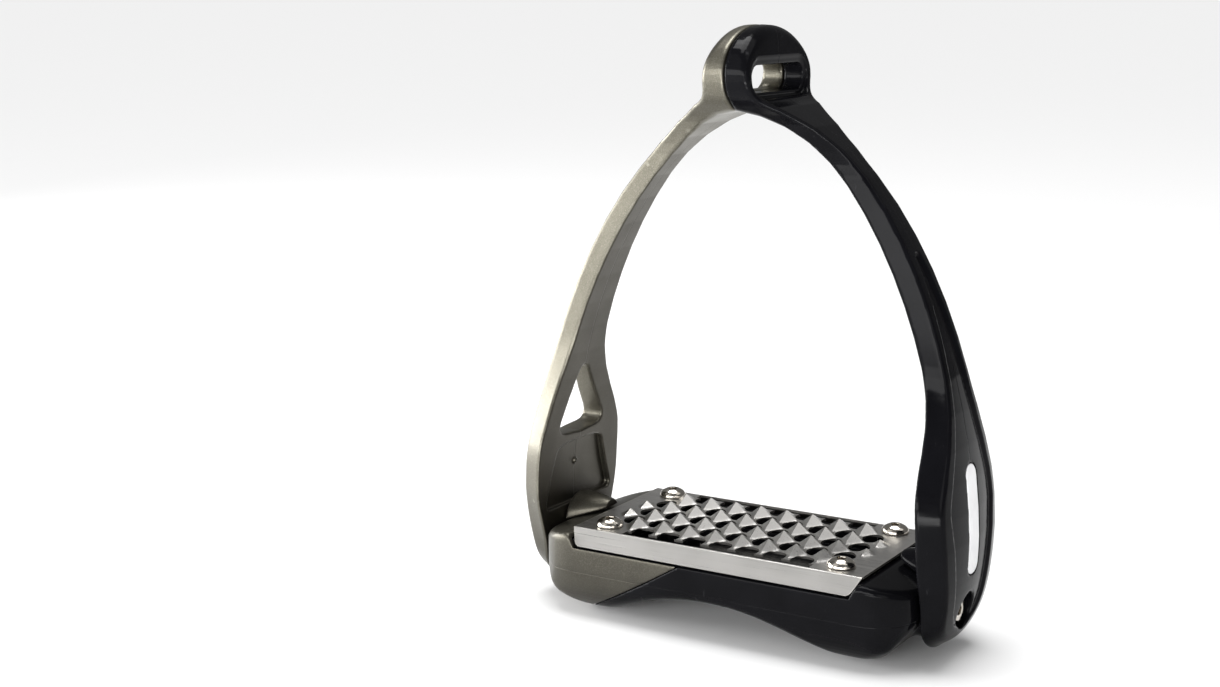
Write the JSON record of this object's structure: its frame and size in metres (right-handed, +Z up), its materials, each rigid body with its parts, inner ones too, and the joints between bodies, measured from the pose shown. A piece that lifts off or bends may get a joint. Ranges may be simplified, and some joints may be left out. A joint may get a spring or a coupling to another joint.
{
  "type": "stirrup iron",
  "caption": "Safety stirrup iron with a split leather eye, a grip-plate tread on a moulded base, one fixed arm and one arm that swings outward to release the foot.",
  "frame": {"origin": "on the ground, under the middle of the base", "axes": "+Z up towards the leather eye, +X from the fixed arm to the release arm, +Y across the tread"},
  "size_m": [0.1384, 0.0588, 0.1716],
  "materials": {
    "pewter": "satin metallic",
    "gloss_black": "gloss",
    "badge_resin": "domed clear resin over print",
    "label_white": "satin",
    "stainless": "brushed",
    "steel": "polished",
    "brass": "machined",
    "spring_steel": "drawn"
  },
  "bodies": {
    "frame": {"fixed_arm": "pewter", "badge": "badge_resin", "base_body": "gloss_black", "base_end_cap": "pewter", "release_end_dome": "gloss_black", "fixed_end_dome": "pewter", "tread_plate": "stainless", "tread_screw_1": "steel", "tread_screw_2": "steel", "tread_screw_3": "steel", "tread_screw_4": "steel", "tread_insert_1": "brass", "tread_insert_2": "brass", "tread_insert_3": "brass", "tread_insert_4": "brass", "fixed_arm_washer": "steel", "fixed_arm_screw": "steel", "fixed_arm_insert": "brass", "catch_clip": "spring_steel"},
    "release_arm": {"release_arm": "gloss_black", "release_arm_cover": "gloss_black", "label": "label_white", "release_arm_washer": "steel", "release_arm_screw": "steel", "catch_stud": "steel"}
  },
  "joints": [
    {"name": "release_hinge", "type": "hinge", "parent": "frame", "child": "release_arm", "pos_m": [0, 0, 0.1716], "axis": [0, -1, 0], "range_deg": [0, 40], "deforming": ["catch_clip"]}
  ]
}
